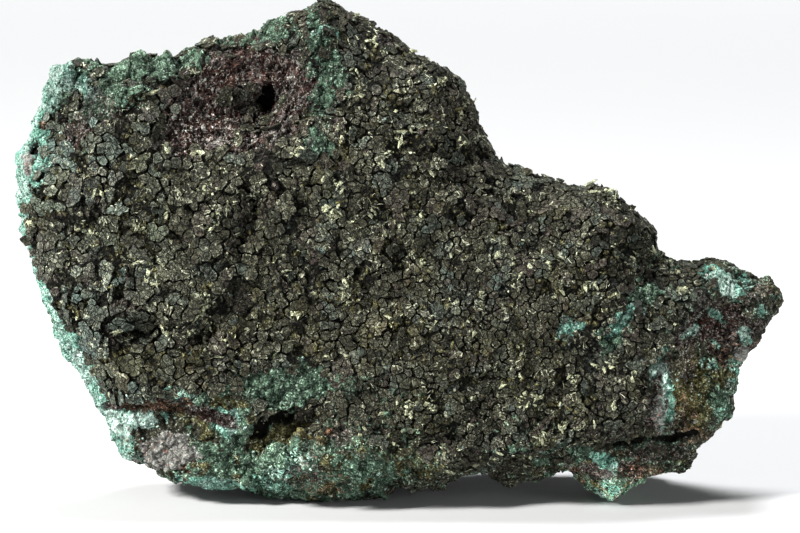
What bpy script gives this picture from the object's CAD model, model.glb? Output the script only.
"""Looks of a copper ore specimen: a thick lump with a dark blocky crust, malachite and cuprite.

The lump's skin is laid out anew on the solid's own surface and given fine relief. Plates, chips,
granules and needles are then set on it as small closed bodies, joined into one mesh for each
kind. Places on the face are (x, height) in millimetres, square to the leaning face.
"""
import itertools
import math

import bmesh
import bpy
import numpy as np
from bpy.props import FloatProperty, FloatVectorProperty, PointerProperty
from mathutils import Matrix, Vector
from mathutils.kdtree import KDTree


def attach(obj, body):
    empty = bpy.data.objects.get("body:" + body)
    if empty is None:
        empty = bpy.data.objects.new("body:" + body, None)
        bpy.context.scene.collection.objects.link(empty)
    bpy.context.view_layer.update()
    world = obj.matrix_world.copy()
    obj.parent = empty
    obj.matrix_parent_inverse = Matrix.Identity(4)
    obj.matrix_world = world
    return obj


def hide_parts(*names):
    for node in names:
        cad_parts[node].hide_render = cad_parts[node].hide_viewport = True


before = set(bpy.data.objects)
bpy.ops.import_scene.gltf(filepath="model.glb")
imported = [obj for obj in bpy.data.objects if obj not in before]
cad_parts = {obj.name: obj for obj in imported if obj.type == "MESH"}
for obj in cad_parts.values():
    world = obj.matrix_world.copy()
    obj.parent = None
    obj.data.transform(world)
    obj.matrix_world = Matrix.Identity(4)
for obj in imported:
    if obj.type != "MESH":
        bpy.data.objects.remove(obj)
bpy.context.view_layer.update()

bl_info = {
    "name": "Copper Ore Specimen",
    "version": (1, 0, 0),
    "blender": (4, 5, 0),
    "location": "3D View > Sidebar > Specimen",
    "description": "Builds a malachite and cuprite specimen around its packed solid",
    "category": "Object",
}

MM = 0.001
NODE = "specimen"
ROOT = "root"

# How the lump stands: its lean, and where the face's own zero lies in the frame (millimetres).
LEAN = math.radians(9)
FACE_ZERO = np.array([0.37, -10.44, -1.3])
CENTRE_HEIGHT = 61.6        # height on the face that the camera looks at
IMAGE = (800, 533)
PIXEL = 0.26                # millimetres on the face that one pixel of the image shows
CAMERA_DISTANCE = 1200.0
SENSOR = 36.0

# The skin comes in sectors that meet unseen: front ones, finer, up to a little behind the rim,
# and back ones. Each is (name, from x to x, place of its inner closing point), in millimetres.
SEAM_DEPTH = 3.0            # depth behind the rim at which front and back meet
OVERLAP = 2.5               # how far each goes past the seam
SEAM_SINK = 1.6             # how deep it has sunk there, so that the other covers it
SKIN_ROUNDS = 48            # rounds of smoothing that take off the solid's facets
NORMAL_ROUNDS = 6
FRONT_SECTORS = [
    ("front_far_left", -200, -52, (-70, 1, 62)), ("front_left", -52, -14, (-34, 1, 58)),
    ("front_right", -14, 28, (6, 0, 54)), ("front_far_right", 28, 200, (56, 1, 32)),
]
BACK_SECTORS = [("back_left", -200, -14, (-50, 8, 60)), ("back_right", -14, 200, (30, 8, 40))]

MINERALS = ("malachite", "verdigris", "cuprite", "rust", "olive", "clay")

# Patches of each mineral on the face: (x, height, half width, half height, turn in degrees, share).
PATCHES = {
    "malachite": [
        (-20, 121, 5.0, 11, 12, 1.0), (-23, 104, 4.5, 14, 14, 0.95), (-18, 110, 6, 6, 0, 0.7),
        (-78, 108, 16, 9, 0, 0.75), (-56, 113, 20, 5.0, 4, 0.75), (-36, 121, 14, 4.0, 14, 0.7),
        (-88, 98, 8, 10, 0, 0.5), (-30, 30, 16, 6.5, 4, 0.8), (-46, 23, 12, 7, -20, 0.9),
        (-46, 9, 18, 8, -8, 0.85), (-22, 8, 22, 9, 0, 0.95), (-8, 16, 14, 9, 0, 0.5),
        (4, 11, 12, 7, 0, 0.38), (-12, 30, 18, 6, 0, 0.5), (46, 10, 16, 6, -6, 0.75),
        (55, 4, 7, 6, 0, 1.0), (64, 13, 12, 5, 10, 0.7), (59, 48, 11, 5, 55, 0.75),
        (78, 48, 12, 14, 0, 0.45), (85.5, 30, 6, 14, 0, 0.75), (88, 58, 12, 6, -12, 0.6),
        (40, 50, 5, 5, 0, 0.4), (68, 64, 10, 4, -20, 0.5), (75, 12, 10, 6, 10, 0.4),
        (30, 18, 20, 6, 0, 0.35), (-42, 111.5, 8, 3.4, 10, 0.75), (-33, 116, 8, 3, 20, 0.7),
        (-52, 104, 5, 3, 0, 0.55), (84, 27, 6, 10, 0, 0.5), (94, 48, 3, 8, 0, 0.5),
        (95, 57, 4, 5, 0, 0.75), (86, 22, 5, 8, 0, 0.6),
    ],
    "verdigris": [
        (-91, 110, 6, 7, 0, 0.9), (-84, 109, 5, 4, -30, 0.6), (-96, 92, 6, 12, 0, 0.7),
        (-70, 22, 9, 3.4, 3, 1.0), (-74, 15, 5, 9, 0, 0.8), (-46, 21.5, 4.5, 3, -30, 0.8),
        (85.5, 56.5, 6.0, 3.4, -32, 1.0), (81, 60, 5, 2.6, -20, 0.7), (53, 9.5, 3.6, 5, 0, 0.9),
        (54, 3, 3.5, 3.6, 0, 0.55), (-52, 5.5, 7, 1.6, -8, 0.9), (-32, 6, 9, 3, 0, 0.45),
        (-26, 11, 4, 4, 0, 0.5), (58, 47.5, 6.5, 2.3, 50, 1.0), (44, 45.5, 3.6, 2.4, 10, 0.9),
        (66, 30, 1.6, 9, -8, 0.75), (70, 27, 1.4, 9, 4, 0.7), (76, 44.5, 2.6, 1.5, 30, 0.62),
        (89.5, 44, 2.4, 3.0, 20, 0.62), (-68, 104, 7, 3, 0, 0.35), (-57, 28, 5, 2.5, -10, 0.5),
        (82, 41.5, 2.4, 1.4, -40, 0.55), (82.5, 49, 3.0, 1.6, -35, 0.6),
        (87, 36, 1.6, 2.6, 10, 0.5), (79, 37, 2.6, 1.4, 60, 0.5), (68, 29, 3.0, 9.5, -4, 0.85),
        (81, 36, 1.6, 1.8, 0, 0.5), (86, 31, 1.6, 2.0, 0, 0.4), (83, 24, 1.8, 1.8, 0, 0.4),
        (-47, 4.5, 8, 2.0, -6, 1.0), (48, 3, 5, 1.6, 0, 0.35), (94, 50, 1.4, 2, 0, 0.6),
    ],
    "cuprite": [
        (-38, 113, 13, 7, 8, 1.0), (-30, 107, 7.5, 11, 0, 1.0), (-52, 108, 10, 5.5, 24, 0.9),
        (-49, 98, 13, 8, -6, 0.8), (-60, 94, 7, 6, 0, 0.5), (-36, 96, 9, 5, 0, 0.55),
        (-4, 121, 3.5, 2.6, -30, 0.9), (83, 46, 9.5, 8.5, 0, 0.8), (92, 55, 4, 3, 0, 0.5),
        (75, 38, 3, 10, 0, 0.5), (66, 27, 2.0, 8, -8, 0.7), (66, 13, 11, 3.2, 4, 0.55),
        (50, 8, 8, 2.4, -12, 0.7), (60, 9, 5, 4, 0, 0.6), (-24, 8, 5, 3.5, 0, 0.5),
        (-15, 17, 3, 3, 0, 0.5), (-66, 25.6, 12, 1.5, 2, 0.8), (-50, 23, 9, 1.8, -22, 0.8),
        (-84, 97, 5, 4, -30, 0.6), (-76, 101, 8, 5, -20, 0.45), (94, 42, 4, 7, 0, 0.8),
    ],
    "rust": [
        (-68, 25, 14, 1.8, 2, 0.6), (74, 22, 4, 8, 0, 0.42), (86, 40, 8, 5, 0, 0.40),
        (63, 9, 7, 4, 0, 0.45), (-20, 5, 8, 3, 0, 0.45), (46, 7, 6, 2.0, 0, 0.6),
        (-22, 14, 3, 4, 0, 0.4), (-56, 9, 3, 1.4, -40, 0.7), (-58, 17, 2, 1, 0, 0.5),
        (-92, 99, 2, 1.6, 0, 0.9), (77, 17, 7, 3, 0, 0.40), (-18.6, 18.5, 1.4, 1.2, 0, 0.8),
    ],
    "clay": [
        (-60, 13.5, 7.5, 5.2, -15, 1.0), (94.5, 55, 4, 5, 0, 0.3), (89, 39, 3, 1.8, 0, 0.7),
        (-96.5, 88, 1.6, 3, 0, 0.8), (67.5, 24, 2.0, 7, -4, 0.6), (84, 52, 4, 3, 0, 0.4),
        (-24, 7, 6, 3, 0, 0.4), (96, 60, 3, 2, 0, 0.5), (-72, 17, 4, 3, 0, 0.4),
        (62, 30, 2, 7, -6, 0.35),
    ],
    "olive": [
        (-68, 36, 22, 4.5, -3, 1.0), (-12, 46, 22, 12, 0, 0.65), (6, 72, 18, 16, 0, 0.5),
        (26, 40, 22, 12, 0, 0.6), (-36, 62, 10, 14, 0, 0.4), (-6, 104, 12, 14, 0, 0.45),
        (-30, 16, 12, 4, 0, 0.6), (8, 24, 16, 8, 0, 0.55), (34, 26, 18, 8, 0, 0.5),
        (-76, 86, 10, 6, 0, 0.5), (-62, 80, 14, 8, 0, 0.3), (50, 66, 16, 8, -20, 0.3),
        (12, 92, 10, 16, 0, 0.4), (-58, 49, 12, 6, 0, 0.35), (77, 31, 6, 12, 0, 1.0),
        (-32, 17, 10, 3, 20, 0.8), (-42, 12, 6, 4, 0, 0.5), (72, 12, 8, 3, 0, 0.5),
        (-70, 14, 3, 4, 0, 0.5), (-4, 12, 15, 6, 0, 0.65),
    ],
}

# The lower edge of the crust as (x, height): below it, or right of it, no dark plates grow.
CRUST_EDGE = [(-96, 34), (-80, 27), (-60, 27), (-46, 30), (-26, 24), (-2, 14), (20, 9), (44, 10),
              (58, 17), (68, 26), (72, 44), (84, 60)]

# The pale weathered wall along the left edge: (height, x of the edge, width of the wall's band).
LEFT_WALL = [
    (0, -60, 0.1), (18, -74, 4), (26, -76.5, 5), (38, -84.5, 4.6), (46, -88.5, 2.6),
    (54, -91.5, 0.9), (63, -95.5, 1.2), (71, -98, 2.6), (79, -99.5, 4.0), (93, -99.8, 4.4),
    (100, -96, 4.4), (108, -91, 4.6), (114, -88, 3), (122, -85, 0.1),
]

# Bands and spots where the verdigris is almost white: (x, height, half width, half height, turn, share).
PALE_SPOTS = [
    (68.0, 29, 2.4, 9.5, -4, 1.0), (-70, 21, 8, 3.4, 3, 0.9), (-46, 21, 4, 2.6, -30, 0.5),
    (84, 57, 5, 2.6, -32, 0.7), (76, 44.5, 2.6, 2, 30, 0.35), (89.5, 44, 2.8, 2.6, 0, 0.35),
    (-78, 107, 5, 2.6, 0, 0.7), (-83, 100, 3, 2.6, 0, 0.7), (-62, 13, 6, 4, -15, 0.4),
]

# Where everything is lighter, or darker below 0: (x, height, half width, half height, turn,
# powers of two).
LIGHT_SPOTS = [
    (82, 30, 14, 20, 0, 0.75), (54, 5, 16, 8, 0, 1.5), (68, 9, 12, 7, 0, 0.65),
    (54, 2, 9, 5, 0, 0.7), (69, 27, 3, 9, -4, 0.5), (-36, 10, 34, 14, 0, 0.45),
    (0, 10, 30, 10, 0, 0.38), (90, 53, 8, 7, 0, 0.45), (-70, 20.5, 8, 4, 0, 0.5),
    (84, 57, 6, 4, 0, -0.3), (-86, 108, 10, 8, 0, -0.5), (-45, 106, 20, 10, 0, -0.2),
    (-51, 95, 12, 7, 0, 0.6), (-87, 62, 9, 26, 0, 0.10), (-22, 118, 5, 14, 0, -0.2),
]

# Small dark cavities in the face: (x, height, half width, half height, turn in degrees, depth).
CAVITIES = [
    (-34.6, 105, 2.1, 3.6, -15, 3.0), (-38.5, 75, 1.0, 4.5, -10, 1.6),
    (-31, 22.2, 5.6, 2.0, 16, 3.4), (-36.3, 18.6, 2.6, 1.6, 40, 2.6), (-65, 45, 8, 0.7, 4, 1.4),
    (66, 16.5, 13, 1.1, 7, 1.8), (8, 18.3, 6, 0.8, 15, 1.3), (-95.6, 93, 1.6, 2.4, 0, 2.2),
    (-91, 86, 1.2, 1.6, 0, 1.6), (24, 44, 3.4, 0.7, -25, 0.9), (-12, 61, 2.4, 0.6, -35, 0.9),
    (-30, 57, 0.8, 3.2, 12, 1.0), (-55, 58, 3.0, 0.6, 30, 0.9), (38, 27, 4.0, 0.9, 20, 1.1),
    (50, 30, 0.8, 3.0, 20, 1.0), (1, 36, 3.6, 0.7, -15, 1.0), (-70, 74, 0.7, 3.2, -8, 0.9),
    (14, 74, 0.7, 3.0, 20, 0.9),
]


# ---------------------------------------------------------------- numbers from places

def hashed(cells, seed):
    """A repeatable number from 0 to 1 for each whole-number place."""
    x, y, z = (cells[..., axis].astype(np.int64).astype(np.uint32) for axis in range(3))
    mixed = x * np.uint32(374761393) + y * np.uint32(668265263) + z * np.uint32(2246822519)
    mixed = mixed + np.uint32(seed * 7919 + 17)
    mixed = (mixed ^ (mixed >> np.uint32(13))) * np.uint32(1274126177)
    mixed = (mixed ^ (mixed >> np.uint32(15))) * np.uint32(2246822519)
    return (mixed ^ (mixed >> np.uint32(16))).astype(np.float64) / 2.0 ** 32


def smooth_noise(places, size, seed):
    """Noise from -1 to 1: random values on a cubic lattice, blended with a smooth step."""
    place = places / size
    low = np.floor(place)
    share = place - low
    share = share * share * (3 - 2 * share)
    total = np.zeros(len(places))
    for corner in itertools.product((0, 1), repeat=3):
        weight = np.prod(np.where(corner, share, 1 - share), axis=-1)
        total += weight * hashed(low + corner, seed)
    return 2 * total - 1


def layered_noise(places, size, seed, layers=3):
    """Smooth noise summed over sizes that halve, each half as strong, from about -1 to 1."""
    total = np.zeros(len(places))
    for layer in range(layers):
        total += smooth_noise(places, size / 2 ** layer, seed + layer) / 2 ** layer
    return total / (2 - 2.0 ** (1 - layers))


def block_cells(places, size, seed):
    """Jittered cells: (offset to the nearest centre, gap to the next cell, the cell's number)."""
    place = places / size
    low = np.floor(place)
    best = np.full(len(places), 9.0)
    second = np.full(len(places), 9.0)
    offset = np.zeros_like(places)
    number = np.zeros(len(places))
    for step in itertools.product((-1, 0, 1), repeat=3):
        cell = low + step
        centre = cell + np.stack([hashed(cell, seed + axis) for axis in range(3)], axis=-1)
        away = place - centre
        distance = np.sqrt((away ** 2).sum(-1))
        nearer = distance < best
        second = np.where(nearer, best, np.minimum(second, distance))
        best = np.where(nearer, distance, best)
        offset[nearer] = away[nearer]
        number[nearer] = hashed(cell, seed + 3)[nearer]
    return offset, second - best, number


def smooth_step(low, high, values):
    """0 up to low, 1 from high on, and 3 t^2 - 2 t^3 of the share t of the way between."""
    share = np.clip((values - low) / (high - low), 0, 1)
    return share * share * (3 - 2 * share)


# ---------------------------------------------------------------- places on the lump

def on_face(places):
    """Places in the lump's own leaning frame: (x, depth behind the rim, height), millimetres."""
    x, y, z = (places / MM - FACE_ZERO).T
    depth = y * math.cos(LEAN) - z * math.sin(LEAN)
    height = y * math.sin(LEAN) + z * math.cos(LEAN)
    return np.column_stack((x, depth, height))


def from_face(place):
    """The reverse for one place: metres in the frame."""
    x, depth, height = place
    y = depth * math.cos(LEAN) + height * math.sin(LEAN)
    z = height * math.cos(LEAN) - depth * math.sin(LEAN)
    return (np.array((x, y, z)) + FACE_ZERO) * MM


def seen_from_front(face_places):
    """The (x, height) where the line from the stage's camera to a place meets the rim's plane."""
    spread = CAMERA_DISTANCE / (CAMERA_DISTANCE + face_places[:, 1])
    return np.column_stack((
        face_places[:, 0] * spread,
        CENTRE_HEIGHT + (face_places[:, 2] - CENTRE_HEIGHT) * spread,
    ))


def oval_reach(seen, x, height, half_width, half_height, turn):
    """Distance from an oval's centre as a share of its size: 1 on its edge."""
    angle = math.radians(turn)
    along = (seen[:, 0] - x) * math.cos(angle) + (seen[:, 1] - height) * math.sin(angle)
    across = (seen[:, 1] - height) * math.cos(angle) - (seen[:, 0] - x) * math.sin(angle)
    return np.hypot(along / half_width, across / half_height)


def crust_share(seen, wobble):
    """1 where the dark crust covers the face, 0 beyond its broken edge."""
    edge = np.array(CRUST_EDGE)
    level = np.interp(seen[:, 0], edge[:, 0], edge[:, 1], right=200)
    return smooth_step(-2.0, 2.0, seen[:, 1] - level + 4.0 * wobble)


def mineral_shares(face, normals):
    """How much of each mineral a place shows, 0 to 1, as a dictionary of arrays; also 'crust'.

    A patch's share falls from its centre as a smooth step of its oval distance, whose edge is
    broken by noise. Off the face, broad noise decides. The left wall is verdigris, olive
    spots lie in the malachite, and on the right flank verdigris lies over the cuprite.
    """
    seen = seen_from_front(face)
    backward = normals[:, 1] * math.cos(LEAN) - normals[:, 2] * math.sin(LEAN)
    to_front = smooth_step(-0.15, 0.35, -backward)
    ragged = (0.5 * smooth_noise(face, 7.0, 40) + 0.4 * smooth_noise(face, 2.6, 41)
              + 0.45 * smooth_noise(face, 1.2, 42))
    shares = {}
    for number, mineral in enumerate(MINERALS):
        total = np.zeros(len(face))
        for *oval, share in PATCHES[mineral]:
            reach = oval_reach(seen, *oval)
            total = np.maximum(total, share * (1 - smooth_step(0.7, 1.25, reach + 0.6 * ragged)))
        broad = layered_noise(face + 31.0 * number, 30.0, 50 + number, 5)
        scarce = {"rust": 0.14, "verdigris": 0.10, "clay": 0.22}.get(mineral, 0.0)
        elsewhere = smooth_step(0.05, 0.32, broad - scarce + 0.22 * ragged)
        shares[mineral] = total * to_front + elsewhere * (1 - to_front)
    spots = 0.8 * smooth_noise(face, 4.6, 61) + 0.5 * smooth_noise(face, 1.9, 62)
    bare = smooth_step(0.10, 0.40, spots)
    shares["olive"] = np.maximum(shares["olive"], 0.75 * bare * shares["malachite"])
    shares["malachite"] = shares["malachite"] * (1 - 0.75 * bare)
    flank = smooth_step(70, 74, seen[:, 0])
    shares["cuprite"] = shares["cuprite"] * (1 - flank * shares["verdigris"])

    heights, edges, widths = np.array(LEFT_WALL).T
    width = np.interp(face[:, 2], heights, widths) * (1 + 0.9 * ragged)
    inward = seen[:, 0] - np.interp(seen[:, 1], heights, edges)
    beyond = smooth_step(-50, -80, face[:, 0]) * smooth_step(22, 10, face[:, 1])
    left_wall = smooth_step(width, 0.55 * width, inward) * beyond
    pale = smooth_step(-0.6, 0.1, layered_noise(face, 6.0, 60))
    shares["verdigris"] = np.maximum(shares["verdigris"], left_wall * (0.4 + 0.6 * pale))
    shares["rust"] = shares["rust"] * (1 - 0.8 * left_wall)
    shares["crust"] = crust_share(seen, ragged) * to_front * (1 - left_wall)
    shares["front"] = to_front
    shares["wall"] = left_wall
    return shares


def film_share(face):
    """Where a blue-green film lies on the crust: noise of two sizes, cut off below."""
    return smooth_step(0.35, 0.8, smooth_noise(face, 6.0, 105) + 0.5 * smooth_noise(face, 2.5, 106))


def crumb_clusters(face):
    """Noise of two sizes that gathers the pale chips in clusters."""
    return smooth_noise(face, 2.6, 112) + 0.45 * smooth_noise(face, 9.0, 113)


# ---------------------------------------------------------------- relief

def plates(face, size, seed):
    """Cells with ragged edges: (lift of each plate in sizes, distance to its edge in mm, number).

    Every plate is a plane of its own height and tilt. Places are shifted by noise first.
    """
    shift = np.column_stack([smooth_noise(face, 0.9 * size, seed + 10 + axis) for axis in range(3)])
    offset, gap, number = block_cells(face + 0.2 * size * shift, size, seed)
    lean = np.column_stack([(number * factor) % 1 - 0.5 for factor in (7.0, 13.0, 29.0)])
    return number + 0.9 * (offset * lean).sum(1), 0.5 * gap * size, number


def crust_relief(face):
    """The ground under the crust: small plates of two sizes, each with a narrow gap round it.

    A place belongs to its larger plate if that plate's number is low, or else to its small one.
    Returns the lift, 0 in a gap and 1 on a plate, the plate's number, and whether it is large.
    """
    middle, middle_edge, middle_number = plates(face, 2.3, 120)
    small, small_edge, small_number = plates(face, 1.25, 130)
    is_middle = middle_number < 0.5
    lift = np.where(is_middle, 0.3 + 0.8 * middle, 0.1 + 0.8 * small)
    edge = np.where(is_middle, middle_edge, np.minimum(small_edge, middle_edge + 0.1))
    number = np.where(is_middle, middle_number * 2, small_number)
    wall = smooth_step(0.05, 0.36, edge)
    grain = 0.20 * smooth_noise(face, 1.3, 140) + 0.16 * smooth_noise(face, 0.8, 141)
    return lift * wall + grain, wall, number % 1, is_middle


def granular_relief(face):
    """Knobs of malachite, and how deep each place lies between them.

    The knobs are caps of three sizes, each 1 less 1.6 times the square of the distance from its
    centre. The largest stand highest at the upper left.
    """
    lift = np.zeros(len(face))
    between = np.zeros(len(face))
    knobby = smooth_step(-16, -40, face[:, 0]) * smooth_step(100, 108, face[:, 2])
    for size, height, seed in ((4.4, 1.25, 150), (1.9, 0.7, 160), (0.95, 0.36, 170)):
        offset, gap, number = block_cells(face + 0.15 * size * smooth_noise(face, size, seed + 7)[:, None],
                                          size, seed)
        boost = 1 + 0.9 * knobby if size > 4 else 1
        lift += boost * height * (0.6 + 0.8 * number) * (1 - 1.6 * (offset ** 2).sum(1))
        between = np.maximum(between, min(height, 0.9) * smooth_step(0.16, 0.02, gap))
    return lift - 1.2 + 0.35 * layered_noise(face, 3.0, 180), between


def crystal_relief(face):
    """Cuprite: the tilted plates of two sizes, each steep to its edge, with pits in some."""
    large, large_edge, _ = plates(face, 2.4, 190)
    small, small_edge, number = plates(face, 1.1, 200)
    pits = smooth_step(0.78, 0.95, number)
    lift = 0.9 * large * smooth_step(0, 0.5, large_edge) + 0.8 * small * smooth_step(0, 0.3, small_edge)
    return lift - 0.6 - 1.0 * pits + 0.3 * layered_noise(face, 4.0, 210)


def relief(face, shares):
    """Lift of the skin in millimetres, and the values that the finish reads.

    The crust's ground, knobs or facets by the mineral's share, less the cavities, each of which
    falls from its depth as a smooth step of its oval distance.
    """
    seen = seen_from_front(face)
    crust, wall, number, is_plate = crust_relief(face)
    knobs, between = granular_relief(face)
    crystals = crystal_relief(face)
    red = smooth_step(0.3, 0.6, np.maximum(shares["cuprite"], 0.8 * shares["rust"]))
    calm = smooth_step(0.35, 0.7, np.maximum(shares["malachite"], shares["verdigris"]))
    ragged = smooth_noise(face, 3.0, 220)
    on_crust = shares["crust"] * (1 - smooth_step(0.3, 0.8, np.maximum(red, calm) + 0.4 * ragged))
    broken = knobs * (1 - red) + crystals * red
    lift = crust * on_crust + broken * (1 - on_crust)
    wobble = 0.45 * smooth_noise(face, 1.6, 221)
    cavity = np.zeros(len(face))
    for *oval, depth in CAVITIES:
        reach = oval_reach(seen, *oval) + wobble
        cavity = np.maximum(cavity, depth * (1 - smooth_step(0.55, 1.1, reach)))
    cavity *= shares["front"]
    values = {key: shares[key] for key in MINERALS + ("wall",)}
    values["crust"] = on_crust
    values["shade"] = on_crust * (0.25 + 0.5 * number) + (1 - on_crust) * (0.5 + 0.3 * knobs)
    values["violet"] = on_crust * is_plate * smooth_step(0.62, 0.68, (number * 3.7) % 1)
    values["film"] = on_crust * np.maximum(
        0.6 * smooth_step(0.88, 0.92, (number * 5.3) % 1), 0.5 * film_share(face))
    values["olive"] = np.maximum(values["olive"], on_crust * smooth_step(
        -0.1, 0.6, smooth_noise(face, 4.0, 224) + 0.5 * smooth_noise(face, 14.0, 225)) * 0.7)
    values["pale"] = np.zeros(len(face))
    for *oval, share in PALE_SPOTS:
        reach = oval_reach(seen, *oval) + wobble
        values["pale"] = np.maximum(values["pale"], share * smooth_step(1.1, 0.6, reach))
    values["light"] = np.zeros(len(face))
    for *oval, share in LIGHT_SPOTS:
        reach = oval_reach(seen, *oval) + 0.5 * wobble
        values["light"] += share * smooth_step(1.2, 0.5, reach)
    between = between * (1 - on_crust) * (1 - 0.3 * shares["wall"]) * 0.8
    values["hollow"] = np.clip(
        on_crust * (1 - wall) + between + smooth_step(0.4, 1.1, cavity), 0, 1)
    values["crumbs"] = on_crust * smooth_step(0.40, 0.75, crumb_clusters(face))
    return lift - cavity, values


# ---------------------------------------------------------------- meshes

ORE_FINISH = "ore_finish"
LOWEST_LUMP = 0.0001        # metres above the floor, for what grows on the skin
LOWEST_PLATE = 0.0002


def mesh_arrays(mesh):
    """Points and vertex normals of a mesh as arrays."""
    points = np.empty(len(mesh.vertices) * 3)
    mesh.vertices.foreach_get("co", points)
    normals = np.empty(len(mesh.vertices) * 3)
    mesh.vertex_normals.foreach_get("vector", normals)
    return points.reshape(-1, 3), normals.reshape(-1, 3)


def triangle_corners(mesh):
    """The three points of each of the mesh's triangles."""
    mesh.calc_loop_triangles()
    corners = np.empty(len(mesh.loop_triangles) * 3, np.int32)
    mesh.loop_triangles.foreach_get("vertices", corners)
    return corners.reshape(-1, 3)


def edge_ends(mesh):
    """The two points of each edge."""
    ends = np.empty(len(mesh.edges) * 2, np.int32)
    mesh.edges.foreach_get("vertices", ends)
    return ends.reshape(-1, 2)


def relaxed(values, ends, rounds):
    """Each point's value moved halfway to the mean of its neighbours, a number of rounds."""
    count = len(values)
    degree = np.bincount(ends.ravel(), minlength=count)[:, None]
    for _ in range(rounds):
        total = np.empty_like(values)
        for axis in range(values.shape[1]):
            total[:, axis] = (
                np.bincount(ends[:, 0], values[ends[:, 1], axis], count)
                + np.bincount(ends[:, 1], values[ends[:, 0], axis], count)
            )
        values = 0.5 * values + 0.5 * total / degree
    return values


def set_values(mesh, name, values):
    """Stores one number per vertex under a name that the materials read."""
    attribute = mesh.attributes.new(name, "FLOAT", "POINT")
    attribute.data.foreach_set("value", np.ascontiguousarray(values, np.float32))


def finished(name, mesh, material):
    """Adds a mesh as a piece at the origin that rides on the lump."""
    obj = bpy.data.objects.new(name, mesh)
    bpy.context.scene.collection.objects.link(obj)
    mesh.materials.clear()
    mesh.materials.append(material)
    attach(obj, ROOT)
    return obj


def even_copy(node, step):
    """The node's surface, merged, closed and laid out again with even spacing."""
    merged = bmesh.new()
    merged.from_mesh(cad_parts[node].data)
    bmesh.ops.remove_doubles(merged, verts=merged.verts, dist=1e-6)
    mesh = bpy.data.meshes.new(node + "_merged")
    merged.to_mesh(mesh)
    merged.free()
    carrier = bpy.data.objects.new(node + "_carrier", mesh)
    bpy.context.scene.collection.objects.link(carrier)
    remesh = carrier.modifiers.new("even", "REMESH")
    remesh.mode = "VOXEL"
    remesh.voxel_size = step
    evaluated = carrier.evaluated_get(bpy.context.evaluated_depsgraph_get())
    even = bpy.data.meshes.new_from_object(evaluated)
    bpy.data.objects.remove(carrier, do_unlink=True)
    bpy.data.meshes.remove(mesh)
    return even


def boundary_edges(corners):
    """Edges that only one of the triangles has, in that triangle's own direction."""
    edges = np.concatenate([corners[:, [0, 1]], corners[:, [1, 2]], corners[:, [2, 0]]]).astype(np.int64)
    most = edges.max() + 1
    paired = np.isin(edges[:, 0] * most + edges[:, 1], edges[:, 1] * most + edges[:, 0])
    return edges[~paired]


def settled_owners(corners, owners, pieces):
    """Hands over triangles until each piece's edge passes once through each of its points."""
    for _ in range(12):
        changed = False
        for piece in pieces:
            starts = boundary_edges(corners[owners == piece])[:, 0]
            crossings = np.flatnonzero(np.bincount(starts, minlength=corners.max() + 1) > 1)
            if len(crossings):
                owners[np.isin(corners, crossings).any(1)] = piece
                changed = True
        if not changed:
            break
    return owners


def closed_sector(name, points, corners, heart):
    """A mesh of the triangles, closed by a cone of faces from their edge to a point inside."""
    used, corners = np.unique(corners, return_inverse=True)
    corners = corners.reshape(-1, 3)
    edge = boundary_edges(corners)
    cone = np.column_stack((edge[:, 1], edge[:, 0], np.full(len(edge), len(used))))
    faces = np.concatenate((corners, cone))
    points = np.vstack((points[used], heart))
    return joined_mesh(name, points, faces.ravel(), np.full(len(faces), 3)), used


def tree_of(places):
    """A search tree that finds the places near a place."""
    tree = KDTree(len(places))
    for number, place in enumerate(places):
        tree.insert(place, number)
    tree.balance()
    return tree


class Ground:
    """Places picked at random on the finished skin, with its smoothed normals and minerals there."""
    parts = []          # for each side laid: points, normals, values by name, weights of the draw

    def __init__(self, count, seed):
        if not Ground.parts:
            raise RuntimeError("The skin has to be laid before anything is set on it")
        self.random = np.random.default_rng(seed)
        self.places, self.normals = (
            np.concatenate([part[key] for part in Ground.parts]) for key in (0, 1))
        areas = np.concatenate([part[3] for part in Ground.parts])
        picks = self.random.choice(len(self.places), count, replace=False, p=areas / areas.sum())
        self.places, self.normals = self.places[picks], self.normals[picks]
        self.face = on_face(self.places)
        self.seen = seen_from_front(self.face)
        self.shares = {
            key: np.concatenate([part[2][key] for part in Ground.parts])[picks]
            for key in Ground.parts[0][2]
        }

    def spaced(self, spacing, wanted):
        """Picks wanted places one by one, each time ruling out those within its spacing."""
        tree = tree_of(self.places)
        free = wanted.copy()
        chosen = []
        for number in range(len(self.places)):
            if free[number]:
                chosen.append(number)
                for _, other, _ in tree.find_range(self.places[number], spacing[number]):
                    free[other] = False
        return np.array(chosen)


def frames_at(normals, random, tilt):
    """Axes for each crystal: its normal leant by up to tilt radians, and two across it."""
    count = len(normals)
    lean = random.normal(size=(count, 3))
    across = np.cross(normals, lean)
    across /= np.linalg.norm(across, axis=1)[:, None]
    angle = tilt * np.sqrt(random.random(count))[:, None]
    up = normals * np.cos(angle) + across * np.sin(angle)
    lean = random.normal(size=(count, 3))
    first = np.cross(up, lean)
    first /= np.linalg.norm(first, axis=1)[:, None]
    return first, np.cross(up, first), up


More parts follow.
